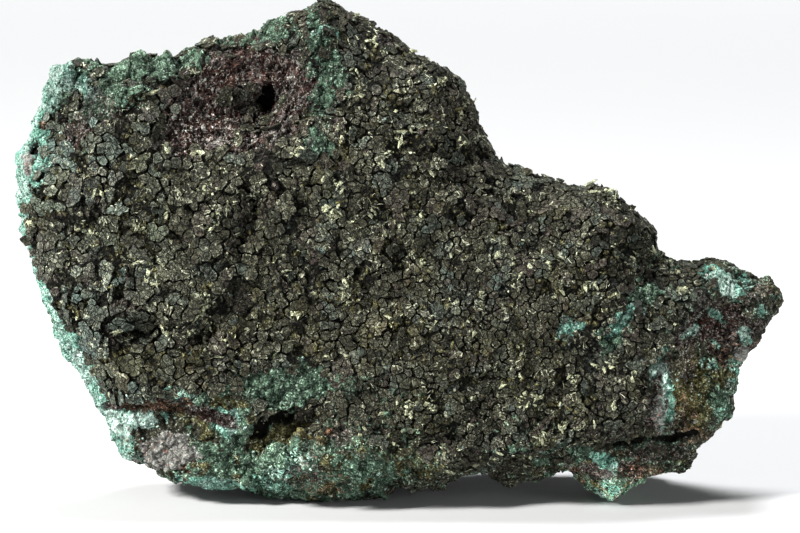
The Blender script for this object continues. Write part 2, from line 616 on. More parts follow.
def many_sided(count, sides, rings, random, jag, slope):
    """Closed lumps as rings of corners round an upright axis, flat at both ends.

    Corner j of ring k lies at radius r_k(1 + jag) and angle (j + jitter) 2 pi / sides, at
    height h_k plus a slope across the lump, which grows with the height. Radius jitter is shared by
    the rings, so that the sides stay nearly flat. Returns (count, rings, sides, 3).
    """
    radii, heights = np.array(rings).T
    turn = (np.arange(sides) + 0.7 * (random.random((count, sides)) - 0.5)) * 2 * np.pi / sides
    reach = 1 + jag * (2 * random.random((count, sides)) - 1)
    ring_reach = radii[None, :, None] * reach[:, None, :]
    x = ring_reach * np.cos(turn)[:, None, :]
    y = ring_reach * np.sin(turn)[:, None, :]
    direction = 2 * np.pi * random.random((count, 1, 1))
    steepness = slope * random.random((count, 1, 1))
    rise = steepness * (x * np.cos(direction) + y * np.sin(direction))
    level = heights[None, :, None] + rise * np.clip(heights, 0, None)[None, :, None]
    return np.stack((x, y, level), axis=-1)


def lump_faces(count, sides, rings):
    """Loops and loop lengths of lumps made of rings: a cap, bands of quads, and a floor."""
    around = np.arange(sides)
    after = (around + 1) % sides
    faces = [around[::-1]]
    for ring in range(rings - 1):
        low = ring * sides
        faces += list(np.column_stack((low + around, low + after, low + sides + after,
                                       low + sides + around)))
    faces.append((rings - 1) * sides + around)
    lengths = np.array([len(face) for face in faces])
    loops = np.concatenate(faces)
    start = np.arange(count)[:, None] * rings * sides
    return (loops[None] + start).ravel(), np.tile(lengths, count)


def joined_mesh(name, points, loops, lengths):
    """A mesh from its points, the corners of all its faces in turn, and the number in each."""
    mesh = bpy.data.meshes.new(name)
    mesh.vertices.add(len(points))
    mesh.vertices.foreach_set("co", points.ravel())
    mesh.loops.add(len(loops))
    mesh.loops.foreach_set("vertex_index", loops.astype(np.int32))
    mesh.polygons.add(len(lengths))
    mesh.polygons.foreach_set("loop_start", (np.cumsum(lengths) - lengths).astype(np.int32))
    mesh.polygons.foreach_set("loop_total", lengths.astype(np.int32))
    mesh.update(calc_edges=True)
    mesh.shade_flat()
    return mesh


def set_lumps(name, ground, chosen, sizes, sides, rings, settings, shown):
    """Sets one lump on each chosen place and joins them in one mesh with the ore's finish.

    settings: jag, slope, tilt, flat (share of size along the normal), long (most stretch),
    sink (share of size below the surface). shown: values by name, one per lump.
    """
    random = ground.random
    count = len(chosen)
    shape = many_sided(count, sides, rings, random, settings["jag"], settings["slope"])
    first, second, up = frames_at(ground.normals[chosen], random, settings["tilt"])
    stretch = 1 + (settings["long"] - 1) * random.random(count)
    scale = sizes[:, None, None, None]
    centre = ground.places[chosen] - up * (settings["sink"] * sizes)[:, None]
    points = (
        centre[:, None, None]
        + shape[..., 0:1] * first[:, None, None] * scale * stretch[:, None, None, None]
        + shape[..., 1:2] * second[:, None, None] * scale / stretch[:, None, None, None]
        + shape[..., 2:3] * up[:, None, None] * scale * settings["flat"]
    ).reshape(-1, 3)
    points[:, 2] = np.maximum(points[:, 2], LOWEST_LUMP)
    loops, lengths = lump_faces(count, sides, len(rings))
    mesh = joined_mesh(name, points, loops, lengths)
    for key, values in shown.items():
        set_values(mesh, key, np.repeat(values, len(rings) * sides))
    finished(name, mesh, bpy.data.materials[ORE_FINISH])


# ---------------------------------------------------------------- materials

class Socket:
    """An output of a shader node. Python's operators on it add Math nodes."""

    def __init__(self, shader, socket):
        self.shader = shader
        self.socket = socket

    def math(self, operation, first, second=0.0):
        """One Math node."""
        return self.shader.add("Math", {"operation": operation}, {0: first, 1: second})

    def __add__(self, other):
        return self.math("ADD", self, other)

    def __radd__(self, other):
        return self.math("ADD", other, self)

    def __sub__(self, other):
        return self.math("SUBTRACT", self, other)

    def __rsub__(self, other):
        return self.math("SUBTRACT", other, self)

    def __mul__(self, other):
        return self.math("MULTIPLY", self, other)

    def __rmul__(self, other):
        return self.math("MULTIPLY", other, self)

    def __pow__(self, other):
        return self.math("POWER", self, other)

    def __rpow__(self, other):
        return self.math("POWER", other, self)

    def size(self):
        """The value without its sign."""
        return self.math("ABSOLUTE", self)

    def between(self, low, high):
        """0 below low, 1 above high, and a smooth step between."""
        return self.shader.add(
            "MapRange", {"interpolation_type": "SMOOTHSTEP"},
            {"Value": self, "From Min": low, "From Max": high},
        )


SOCKET_NAMES = {
    "base_color": "Base Color", "roughness": "Roughness", "normal": "Normal",
    "specular_ior_level": "Specular IOR Level", "emission_color": "Emission Color",
    "emission_strength": "Emission Strength",
}


class Shader:
    """One material's node tree."""

    def __init__(self, name):
        self.material = bpy.data.materials.new(name)
        self.material.use_nodes = True
        self.tree = self.material.node_tree
        self.principled = self.tree.nodes["Principled BSDF"]

    def add(self, kind, settings=None, sockets=None, output=0):
        """Adds a node, sets it up, fills or links its sockets, and returns one of its outputs."""
        node = self.tree.nodes.new("ShaderNode" + kind)
        for key, value in (settings or {}).items():
            setattr(node, key, value)
        for key, value in (sockets or {}).items():
            self.fill(node.inputs[key], value)
        return Socket(self, node.outputs[output])

    def fill(self, socket, value):
        """Links an output to a socket, or sets the socket's own value."""
        if isinstance(value, Socket):
            self.tree.links.new(value.socket, socket)
        else:
            socket.default_value = value

    def finish(self, **sockets):
        """Fills the surface shader's sockets and gives the material."""
        for key, value in sockets.items():
            self.fill(self.principled.inputs[SOCKET_NAMES[key]], value)
        return self.material

    def value(self, name):
        """A value stored on the mesh, 0 where it has none."""
        return self.add("Attribute", {"attribute_name": name}, output="Fac")

    def place(self):
        """The place in the piece's own frame, in metres."""
        return self.add("TexCoord", output="Object")

    def noise(self, place, size, detail=2.0, roughness=0.55, distortion=0.0):
        """Noise from 0 to 1 with features of a size in metres."""
        return self.add("TexNoise", {}, {
            "Vector": place, "Scale": 1 / size, "Detail": detail, "Roughness": roughness,
            "Distortion": distortion,
        })

    def cells(self, place, size, feature="F1", output="Distance"):
        """Cells of a size in metres: the distance from a centre or an edge, or the centre."""
        return self.add("TexVoronoi", {"feature": feature}, {
            "Vector": place, "Scale": 1 / size,
        }, output)

    def mix(self, first, second, share):
        """Blends two colours."""
        return self.add("Mix", {"data_type": "RGBA"}, {0: share, 6: first, 7: second}, 2)

    def scaled(self, colour_value, factor):
        """A colour made darker or lighter."""
        return self.add("VectorMath", {"operation": "SCALE"}, {0: colour_value, "Scale": factor})


# Sizes of the patterns in the finishes, in metres.
SPECK = 0.00042
GRAIN = 2.6 * SPECK
FLECKS = (0.8 * SPECK, 1.9 * SPECK)
BUMP = 0.0013               # height of the bumps
BEND, BENDS_PER_METRE = 0.0012, 900.0
MOTTLE = 0.0065
CRACK = 0.0017              # spacing of the fine cracks in the crust's ground
VEIN, VEIN_AREA = 0.0030, 0.0042
FIBRE, DARK_FIBRE, FIBRE_AREA = 0.0014, 0.0017, 0.0075
NEEDLE_SPECK = 0.0006


def ore_material(name, colours):
    """The finish of the skin and of all but the needles, steered by the values on each mesh.

    Each mineral's colour runs from its dark to its light one by shade and noise, and covers the
    one before it where its share, broken by noise, is high. Flecks of three sizes then make
    it lighter or darker by powers of two; flat-topped plates are evener and have a light rim.
    """
    shader = Shader(name)
    place = shader.place()
    shift = shader.add("TexNoise", {}, {"Vector": place, "Scale": BENDS_PER_METRE, "Detail": 1.0}, "Color")
    bent = shader.add("VectorMath", {"operation": "MULTIPLY_ADD"},
                      {0: shift, 1: (BEND, BEND, BEND), 2: place})
    speck = shader.noise(place, SPECK, 2.0, 0.75)
    grain = shader.noise(place, GRAIN, 3.0, 0.65)
    mottle = shader.noise(place, MOTTLE, 3.0, 0.6)
    dice, coarse_dice = (
        shader.add("TexWhiteNoise", {"noise_dimensions": "3D"},
                   {"Vector": shader.cells(bent, size, output="Position")}, "Value")
        for size in FLECKS
    )
    crack = shader.cells(bent, CRACK, "DISTANCE_TO_EDGE").between(0.10, 0.02)
    winding = shader.noise(bent, VEIN, 1.0, 0.5)
    vein_share = shader.noise(place, VEIN_AREA, 1.0).between(0.5, 0.62)
    vein = (winding - 0.5).size().between(0.030, 0.008) * vein_share
    fibre, dark_fibre = (
        (shader.noise(bent, size, 1.0, 0.5, 1.4) - 0.5).size().between(width, 0.0)
        for size, width in ((FIBRE, 0.050), (DARK_FIBRE, 0.065))
    )
    has = shader.value
    on_crust, shade, even = has("crust"), has("shade"), has("even")
    rough_share = (1 - even * 0.80) * (1 - has("clay") * 0.5)
    calm = 1 - even * 0.75
    chalky = (has("malachite") + has("verdigris") + has("clay")).between(0.0, 1.0)
    scatter = ((dice - 0.5) + (coarse_dice - 0.5) * (0.8 - chalky * 0.55)) * rough_share
    broken = (speck - 0.5) * 0.9 * rough_share + (grain - 0.5) * 1.2 * calm + scatter * 0.3

    tone = shade * 0.6 + broken + 0.2
    crust = shader.mix(colours.crust_dark, colours.crust_light, tone.between(-0.1, 1.2))
    crust = shader.mix(crust, colours.crust_violet, has("violet") * 0.7)
    crust = shader.mix(crust, colours.crust_blue, has("film") * tone.between(0.2, 0.7))
    moss = shader.mix(colours.olive_dark, colours.olive_light, tone.between(0.0, 1.1))
    colour = shader.mix(crust, moss, (has("olive") + broken * 0.5).between(0.30, 0.75))
    crumbs = (has("crumbs") * 0.75 + broken * 0.7).between(0.42, 0.62)
    colour = shader.mix(colour, colours.crumb, crumbs)
    streaked = shader.noise(place, FIBRE_AREA, 1.0).between(0.40, 0.62)
    colour = shader.mix(colour, colours.needle, (vein * 0.6 + fibre * streaked * 0.26) * on_crust)
    colour = shader.mix(colour, colours.hollow, dark_fibre * on_crust * 0.8)
    colour = shader.mix(colour, colours.hollow, crack * on_crust * 0.7)

    green = shader.mix(colours.malachite_dark, colours.malachite, tone.between(0.0, 1.0))
    green = shader.mix(green, colours.malachite_pale, (broken * 0.9 + mottle).between(0.62, 1.12))
    green_share = (has("malachite") + broken).between(0.35, 0.7)
    colour = shader.mix(colour, green, green_share)

    paleness = mottle + broken * 0.6 + has("wall") * 0.12 + has("pale") * 0.4
    pale = shader.mix(colours.verdigris, colours.verdigris_pale, paleness.between(0.45, 0.85))
    pale = shader.mix(pale, colours.malachite_dark, (broken * 1.3 + 0.5).between(0.40, 0.08))
    pale_share = (has("verdigris") + broken * 0.8).between(0.4, 0.6)
    colour = shader.mix(colour, pale, pale_share)

    red = shader.mix(colours.cuprite_dark, colours.cuprite, tone.between(0.1, 1.0))
    red = shader.mix(red, colours.cuprite_grey, (broken * 1.1 + mottle).between(0.42, 0.85))
    colour = shader.mix(colour, red, (has("cuprite") + broken * 0.9).between(0.4, 0.65))

    brown = shader.mix(colours.rust_dark, colours.rust, tone.between(0.1, 1.0))
    colour = shader.mix(colour, brown, (has("rust") + broken * 0.9).between(0.45, 0.7))
    clay = shader.mix(colours.clay_dark, colours.clay, tone.between(0.0, 0.9))
    clay = shader.mix(clay, colours.ember, (grain * 1.2 + broken * 0.4).between(0.80, 0.92))
    colour = shader.mix(colour, clay, (has("clay") + broken * 0.7).between(0.4, 0.65))
    dust = dice.between(0.93, 0.96) * (0.36 - on_crust * 0.28)
    colour = shader.mix(colour, colours.dust, dust)
    colour = shader.mix(colour, colours.hollow, has("hollow"))
    light = ((speck - 0.5) * 2.0 * calm + scatter * 1.7 + has("light") + has("rim") ** 5.0 * 0.9
             - on_crust * (1 - even) * 0.2)
    colour = shader.scaled(colour, 0.94 * 2.0 ** light)

    height = speck * 0.6 + grain * 0.5 + scatter * 0.25 - crack * on_crust * 0.5
    normal = shader.add("Bump", {}, {"Strength": 1.0, "Distance": BUMP, "Height": height}, "Normal")
    rough = 0.62 - has("cuprite") * 0.2 + (speck - 0.5) * 0.25
    return shader.finish(base_color=colour, roughness=rough, normal=normal, specular_ior_level=0.08)


def needle_material(name, colours):
    """Pale yellow-green needles, a little silky: one colour that runs to its dark one by shade."""
    shader = Shader(name)
    place = shader.place()
    speck = shader.noise(place, NEEDLE_SPECK, 2.0, 0.6)
    tone = shader.value("shade") + (speck - 0.5) * 0.6
    colour = shader.mix(colours.needle_dark, colours.needle, tone.between(0.1, 0.9))
    return shader.finish(base_color=colour, roughness=0.5)


# ---------------------------------------------------------------- settings

def length(label, value, description):
    """A size in metres."""
    return FloatProperty(name=label, default=value, min=0.0, unit="LENGTH", description=description)


def colour(label, value, description):
    """A colour in linear red, green and blue, with full alpha."""
    return FloatVectorProperty(
        name=label, default=(*value, 1.0), size=4, min=0.0, max=1.0, subtype="COLOR",
        description=description,
    )


class SpecimenSizes(bpy.types.PropertyGroup):
    """Sizes of the lump's relief and of what grows on it."""
    front_step: length("Front spacing", 0.00040, "Spacing of the front skin's mesh")
    back_step: length("Back spacing", 0.00072, "Spacing of the back skin's mesh")
    cell_left: length("Large cell", 0.0019, "Spacing of the crust's cells at its coarse left end")
    cell_right: length("Small cell", 0.00145, "Spacing of the crust's cells at its fine right end")
    plate_share: FloatProperty(
        name="Plate share", default=0.93, min=0.0, max=1.0, subtype="FACTOR",
        description="Share of the dark crust that plates cover",
    )
    granule: length("Granule", 0.0014, "Spacing of the grains beyond the crust")
    needle: length("Needle", 0.0021, "Length of the pale needles")


class SpecimenColours(bpy.types.PropertyGroup):
    """Colours of the minerals."""
    crust_dark: colour("Crust, dark", (0.009, 0.009, 0.006), "Shaded faces of the dark crust")
    crust_light: colour("Crust, light", (0.106, 0.103, 0.070), "Lit faces of the dark crust")
    crust_violet: colour("Crust, violet", (0.090, 0.066, 0.062), "Purple-brown plates")
    crust_blue: colour("Crust, blue film", (0.120, 0.180, 0.165), "Blue-green film on some plates")
    hollow: colour("Hollow", (0.004, 0.004, 0.003), "Gaps between the plates")
    olive_dark: colour("Olive, dark", (0.028, 0.025, 0.006), "Olive matrix, dark")
    olive_light: colour("Olive, light", (0.165, 0.152, 0.066), "Olive matrix, light")
    crumb: colour("Crumbs", (0.500, 0.520, 0.340), "Pale yellow-green crumbs")
    dust: colour("Dust", (0.420, 0.520, 0.440), "Bright single grains")
    malachite_dark: colour("Malachite, dark", (0.020, 0.042, 0.026), "Malachite in shade")
    malachite: colour("Malachite", (0.122, 0.200, 0.138), "Malachite")
    malachite_pale: colour("Malachite, pale", (0.400, 0.560, 0.420), "Pale malachite")
    verdigris: colour("Verdigris", (0.150, 0.340, 0.265), "Turquoise crust")
    verdigris_pale: colour("Verdigris, pale", (0.385, 0.520, 0.460), "Almost white turquoise crust")
    cuprite_dark: colour("Cuprite, dark", (0.014, 0.006, 0.005), "Cuprite in shade")
    cuprite: colour("Cuprite", (0.082, 0.035, 0.026), "Cuprite")
    cuprite_grey: colour("Cuprite, grey", (0.195, 0.182, 0.168), "Metallic grey cuprite faces")
    clay_dark: colour("Clay, dark", (0.105, 0.095, 0.086), "Pink-grey matrix, dark")
    clay: colour("Clay", (0.325, 0.330, 0.302), "Pink-grey matrix")
    ember: colour("Ember", (0.350, 0.090, 0.035), "Orange-red specks")
    rust_dark: colour("Rust, dark", (0.035, 0.020, 0.012), "Iron-stained matrix, dark")
    rust: colour("Rust", (0.230, 0.135, 0.082), "Iron-stained matrix")
    needle_dark: colour("Needle, dark", (0.160, 0.170, 0.100), "Needles in shade")
    needle: colour("Needle", (0.620, 0.640, 0.460), "Pale needles")
    floor: colour("Floor", (0.500, 0.508, 0.515), "Pale floor")


# ---------------------------------------------------------------- operators

def lay_skin(sectors, step, side, material):
    """Lays the skin of one side, 1 for the front and -1 for the back, and cuts it in sectors.

    Each point of the solid's smoothed surface moves out along its normal by the relief there.
    Past the seam the skin sinks, so that the other side's covers it.
    """
    mesh = even_copy(NODE, step)
    points, normals = mesh_arrays(mesh)
    ends = edge_ends(mesh)
    corners = triangle_corners(mesh)
    bpy.data.meshes.remove(mesh)
    points = relaxed(points, ends, SKIN_ROUNDS)
    past = side * (on_face(points)[:, 1] - SEAM_DEPTH)
    kept = past < OVERLAP
    corners = corners[kept[corners].all(1)]
    used, corners = np.unique(corners, return_inverse=True)
    corners = corners.reshape(-1, 3)
    number = np.full(len(points), -1)
    number[used] = np.arange(len(used))
    ends = number[ends[kept[ends].all(1)]]
    ends = ends[(ends >= 0).all(1)]
    points, normals, past = points[used], relaxed(normals[used], ends, NORMAL_ROUNDS), past[used]
    normals /= np.linalg.norm(normals, axis=1)[:, None]
    face = on_face(points)
    shares = mineral_shares(face, normals)
    lift, values = relief(face, shares)
    lift -= SEAM_SINK * smooth_step(-0.4 * OVERLAP, OVERLAP, past)
    points = points + normals * (lift * MM)[:, None]
    points[:, 2] = np.maximum(points[:, 2], 0.0)
    owners = np.digitize(face[corners, 0].mean(1), [sector[1] for sector in sectors[1:]])
    owners = settled_owners(corners, owners, range(len(sectors)))
    weight = (past < 0) * step ** 2
    Ground.parts.append((points, normals, {**shares, **values}, weight))
    for sector, (name, _, _, heart) in enumerate(sectors):
        mesh, taken = closed_sector(name, points, corners[owners == sector], from_face(heart))
        for key, value in values.items():
            set_values(mesh, key, np.append(value[taken], 0))
        obj = finished(name, mesh, material)
        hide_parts(NODE)


class SPECIMEN_OT_front(bpy.types.Operator):
    """Lays the skin of the face: the crust's ground, malachite, cuprite and the rest"""
    bl_idname = "specimen.front"
    bl_label = "Front skin"

    def execute(self, context):
        material = ore_material(ORE_FINISH, context.scene.specimen_colours)
        Ground.parts.clear()
        lay_skin(FRONT_SECTORS, context.scene.specimen_sizes.front_step, 1, material)
        return {"FINISHED"}


class SPECIMEN_OT_back(bpy.types.Operator):
    """Lays the skin of the back"""
    bl_idname = "specimen.back"
    bl_label = "Back skin"

    def execute(self, context):
        step = context.scene.specimen_sizes.back_step
        lay_skin(BACK_SECTORS, step, -1, bpy.data.materials[ORE_FINISH])
        return {"FINISHED"}


def lump_values(ground, chosen, softness=0.25):
    """Values for each lump: mostly one mineral each, drawn by the shares at its place.

    The share is set against a random number, as a smooth step of their difference; a softer one
    leaves more lumps between two minerals.
    """
    random = ground.random
    values = {}
    for mineral in MINERALS:
        share = ground.shares[mineral][chosen]
        drawn = smooth_step(-softness, softness, share - 0.2 - 0.6 * random.random(len(chosen)))
        values[mineral] = drawn * smooth_step(0.0, 0.3, share)
    values["shade"] = random.random(len(chosen))
    tint = random.random(len(chosen))
    values["violet"] = 0.7 * smooth_step(0.80, 0.84, tint)
    values["film"] = 0.8 * smooth_step(0.14, 0.08, tint)
    values["hollow"] = np.zeros(len(chosen))
    return values


def nearest(places, count):
    """Numbers of the count places nearest to each place."""
    tree = tree_of(places)
    return np.array([[found[1] for found in tree.find_n(place, count + 1)[1:]] for place in places])


# Sizes of the crust's plates and of the cells that they are tiled with, in metres.
PLATE_GAP = 0.00022         # least gap between two plates
PLATE_GAP_SPREAD = 0.00045  # most that is added to it
HAIRLINE = 0.00003          # half the gap between two cells of one plate
BEVEL = 0.00011             # of a cell's upper edge
CELL_RISE = 0.00016         # most that a cell stands above its plate
CELL_EDGE = 0.00008         # depth of a cell's side below its bevel
PLATE_EDGE = 0.00012        # how much deeper it is on the plate's rim

# How the cells' outlines are worked out.
MOST_CORNERS = 12           # of one cell; also how many neighbours bound it
LOOSE_SIDES = 8             # lines all round a cell that bound it where no neighbour does
CELLS_AT_ONCE = 1000        # cells worked out together, to spare memory


def tiled_outlines(places, sizes, groups, ranks, axes, gap, random):
    """Corners of each cell's outline, so that neighbours meet along straight edges.

    A neighbour at distance d in direction a bounds a cell by the line a . v = share d - gap / 2.
    The share goes by the two sizes; cells of one group leave no gap, and a group of higher rank
    reaches over a lower one. The corners are the crossings of two lines that lie within all the
    others, in order round the cell. Returns corners (count, MOST_CORNERS, 2), whether each is
    on the rim of its group, and each cell's number of corners.
    """
    near = nearest(places, MOST_CORNERS)
    same = groups[near] == groups[:, None]
    away = places[near] - places[:, None]
    flat = np.stack([(away * axis[:, None]).sum(-1) for axis in axes], axis=-1)
    distance = np.linalg.norm(flat, axis=-1)
    share = sizes[:, None] / (sizes[:, None] + sizes[near])
    share = share + np.where(same, 0, 0.16 * np.clip(ranks[:, None] - ranks[near], -0.25, 1))
    jitter = 0.8 * random.random((len(places), LOOSE_SIDES))
    turns = (np.arange(LOOSE_SIDES) + jitter) * math.pi / (LOOSE_SIDES / 2)
    line = np.concatenate((flat / distance[..., None], np.stack((np.cos(turns), np.sin(turns)), -1)), 1)
    edge = (0.65 + 0.35 * random.random(turns.shape)) * sizes[:, None]
    reach = np.concatenate((share * distance - np.where(same, HAIRLINE, gap[:, None] / 2), edge), 1)
    outside = np.concatenate((~same, np.ones(turns.shape, bool)), 1)
    one, other = np.triu_indices(line.shape[1], 1)
    corners, rims, numbers = [], [], []
    for low in range(0, len(places), CELLS_AT_ONCE):
        batch = slice(low, low + CELLS_AT_ONCE)
        sides, limit, rim = line[batch], reach[batch], outside[batch]
        a, b = sides[:, one], sides[:, other]
        turned = a[..., 0] * b[..., 1] - a[..., 1] * b[..., 0]
        crossing = np.stack((
            limit[:, one] * b[..., 1] - limit[:, other] * a[..., 1],
            limit[:, other] * a[..., 0] - limit[:, one] * b[..., 0],
        ), -1) / np.where(np.abs(turned) < 1e-3, 1, turned)[..., None]
        over = (np.einsum("npk,nlk->npl", crossing, sides) - limit[:, None]).max(-1)
        kept = (over < 1e-8) & (np.abs(turned) >= 1e-3)
        angle = np.where(kept, np.arctan2(crossing[..., 1], crossing[..., 0]), 9.0)
        order = np.argsort(angle, axis=1)[:, :MOST_CORNERS]
        corners.append(np.take_along_axis(crossing, order[..., None], axis=1))
        rims.append(np.take_along_axis(rim[:, one] | rim[:, other], order, axis=1))
        numbers.append(kept.sum(1))
    return np.concatenate(corners), np.concatenate(rims), np.concatenate(numbers)


def plate_faces(count, sides):
    """Triangles of plates: a cone below from a tip, a bevel, and a fan on top to a middle point.

    Each plate's points are its tip, the outer ring, the top ring and the middle.
    """
    around = 1 + np.arange(sides)
    after = 1 + (np.arange(sides) + 1) % sides
    tip, middle = np.zeros(sides, int), np.full(sides, 2 * sides + 1)
    faces = np.concatenate((
        np.column_stack((tip, after, around)),
        np.column_stack((around, after, after + sides)),
        np.column_stack((around, after + sides, around + sides)),
        np.column_stack((around + sides, after + sides, middle)),
    ))
    start = np.arange(count)[:, None, None] * (2 * sides + 2)
    return (faces[None] + start).reshape(-1, 3)


class SPECIMEN_OT_crust(bpy.types.Operator):
    """Sets the flat-topped plates of the dark crust, tiled edge to edge"""
    bl_idname = "specimen.crust"
    bl_label = "Crust plates"

    def execute(self, context):
        """A plate is a group of cells that share one plane, which has its own small dip and rank."""
        sizes = context.scene.specimen_sizes
        ground = Ground(count=130000, seed=11)
        random, seen, front = ground.random, ground.seen, ground.shares["front"]
        coarse = smooth_step(20, -50, seen[:, 0]) * smooth_step(140, 90, seen[:, 1])
        coarse = np.clip(coarse + 0.35 * smooth_noise(ground.face, 14.0, 101), 0, 1)
        spacing = sizes.cell_right + (sizes.cell_left - sizes.cell_right) * coarse
        spacing = spacing * (0.7 + 0.6 * random.random(len(spacing)))
        packed = ground.spaced(spacing, (ground.shares["crust"] > 0.5) & (front > 0.35))
        size, places = spacing[packed], ground.places[packed]
        group, heads = self.groups(places, size, random)
        count, head = len(heads), packed[heads]
        rank = random.random(count)
        middle, up = self.planes(places, ground.normals[packed], group, count, random, seen[packed, 0])
        wild = smooth_step(-52, -82, seen[head, 0])
        level = (0.42 + 0.40 * coarse[head] + 0.3 * wild) * rank ** 1.5
        level = level + 0.35 * smooth_step(0.9, 1.0, rank) + 0.16
        level = level * (0.25 + 0.75 * smooth_step(0.5, 0.95, front[head])) * MM
        gap = PLATE_GAP + PLATE_GAP_SPREAD * random.random(count) ** 2
        first = np.cross(up, random.normal(size=(count, 3)))
        first /= np.linalg.norm(first, axis=1)[:, None]
        first, second, up = first[group], np.cross(up, first)[group], up[group]
        places = places + up * (level[group] - ((places - middle[group]) * up).sum(1))[:, None]
        outlines, rims, corner_numbers = tiled_outlines(
            places, size, group, rank[group], (first, second), gap[group], random)
        patches = 0.5 * smooth_noise(ground.face[head], 7.0, 103)
        shown = (random.random(count) < sizes.plate_share - 0.1 * wild + patches)[group]
        values = self.cell_values(ground, packed, head, group, wild)
        points, faces, marks, total = [], [], {key: [] for key in values}, 0
        for sides in range(3, MOST_CORNERS + 1):
            cells = np.flatnonzero(shown & (corner_numbers == sides))
            if not len(cells):
                continue
            local = self.cells(outlines[cells, :sides], rims[cells, :sides], size[cells], random)
            spread = (local[..., 0:1] * first[cells][:, None] + local[..., 1:2] * second[cells][:, None]
                      + local[..., 2:3] * up[cells][:, None])
            points.append((places[cells][:, None] + spread).reshape(-1, 3))
            faces.append(plate_faces(len(cells), sides) + total)
            total += len(points[-1])
            for key, value in values.items():
                marks[key].append(np.repeat(value[cells], 2 * sides + 2))
            deep = [1.0] + [0.8] * sides + [0.0] * (sides + 1)
            edged = [0.0] + [1.0] * 2 * sides + [0.0]
            marks["hollow"][-1] = np.tile(deep, len(cells))
            marks["rim"][-1] = np.tile(edged, len(cells))
        points, faces = np.concatenate(points), np.concatenate(faces)
        points[:, 2] = np.maximum(points[:, 2], LOWEST_PLATE)
        mesh = joined_mesh("crust_plates", points, faces.ravel(), np.full(len(faces), 3))
        for key in values:
            set_values(mesh, key, np.concatenate(marks[key]))
        finished("crust_plates", mesh, bpy.data.materials[ORE_FINISH])
        return {"FINISHED"}

    def cell_values(self, ground, packed, head, group, wild):
        """Values of each cell: its plate's mineral and tint, and a shade that is partly its own."""
        random, cells, plates = ground.random, len(packed), len(head)
        values = {key: value[group] for key, value in lump_values(ground, head, softness=0.9).items()}
        for mineral in MINERALS:
            values[mineral] = (0.55 if mineral == "verdigris" else 0.4) * values[mineral]
        values["olive"] = 1.4 * values["olive"]
        values["violet"] = 0.6 * values["violet"]
        values["shade"] = 0.14 + 0.40 * values["shade"] + 0.14 * random.random(cells)
        values["film"] = 0.45 * film_share(ground.face[packed]) + values["film"] * 0.4
        values["film"] += 0.7 * wild[group] * random.random(plates)[group]
        values["light"] = ground.shares["light"][packed] + 0.7 * wild[group] * random.random(cells) ** 2
        for key in ("even", "rim", "crust"):
            values[key] = np.ones(cells)
        return values

    def groups(self, places, size, random):
        """The plate that each cell belongs to, and the cell at the head of each plate."""
        tree = tree_of(places)
        free = np.ones(len(places), bool)
        heads = []
        for number in random.permutation(len(places)):
            if free[number]:
                heads.append(number)
                reach = size[number] * random.uniform(0.9, 2.6)
                for _, other, _ in tree.find_range(places[number], reach):
                    free[other] = False
        tree = tree_of(places[heads])
        moved = places + 0.35 * size[:, None] * random.normal(size=places.shape)
        moved[heads] = places[heads]
        return np.array([tree.find(place)[1] for place in moved]), np.array(heads)

    def planes(self, places, normals, group, count, random, across):
        """Middle and leant normal of each plate; the plates at the far left lean most."""
        number = np.bincount(group, minlength=count)[:, None]
        middle, up = (
            np.column_stack([np.bincount(group, values[:, axis], count) for axis in range(3)])
            for values in (places, normals)
        )
        up /= np.linalg.norm(up, axis=1)[:, None]
        lean = np.cross(up, random.normal(size=(count, 3)))
        lean *= 1 + 1.4 * smooth_step(-50, -80, np.bincount(group, across, count)[:, None] / number)
        up = up + lean * (0.02 + 0.16 * random.random((count, 1)) ** 1.5)
        return middle / number, up / np.linalg.norm(up, axis=1)[:, None]

    def cells(self, outline, rim, size, random):
        """Points of each cell by its plate's axes: tip, outer ring, top ring and middle."""
        count, sides = outline.shape[:2]
        wear = rim * random.random((count, sides)) ** 2
        bevel = (0.4 + 0.6 * rim) * np.clip(BEVEL / np.linalg.norm(outline, axis=-1), 0, 0.3)
        slope = 0.07 * random.normal(size=(count, 2))
        own = CELL_RISE * random.random(count)[:, None] + (outline * slope[:, None]).sum(-1)
        rise = own - 0.06 * size[:, None] * wear
        low = rise - CELL_EDGE - PLATE_EDGE * rim
        middle = 0.3 * size[:, None] * (random.random((count, 2)) - 0.5)
        middle_rise = 0.04 * size * (random.random(count) - 0.4) + own.mean(1)
        return np.concatenate((
            np.column_stack((0 * middle, -1.0 * size))[:, None],
            np.concatenate((outline, low[..., None]), -1),
            np.concatenate((outline * (1 - bevel)[..., None], rise[..., None]), -1),
            np.column_stack((middle, middle_rise))[:, None],
        ), axis=1)


# Sizes of the chips and needles, in metres.
CHIP_SPACING = 0.0007
CHIP_SIZE = 0.00032         # least size of a chip
CHIP_SIZE_SPREAD = 0.00078  # most that is added to it
NEEDLE_SPACING = 0.0005
NEEDLE_THICKNESS = 0.00006  # from a needle's middle line to a corner of its section
NEEDLE_LIFT = 0.00045       # least height of that line above the skin
NEEDLE_LIFT_SPREAD = 0.0005


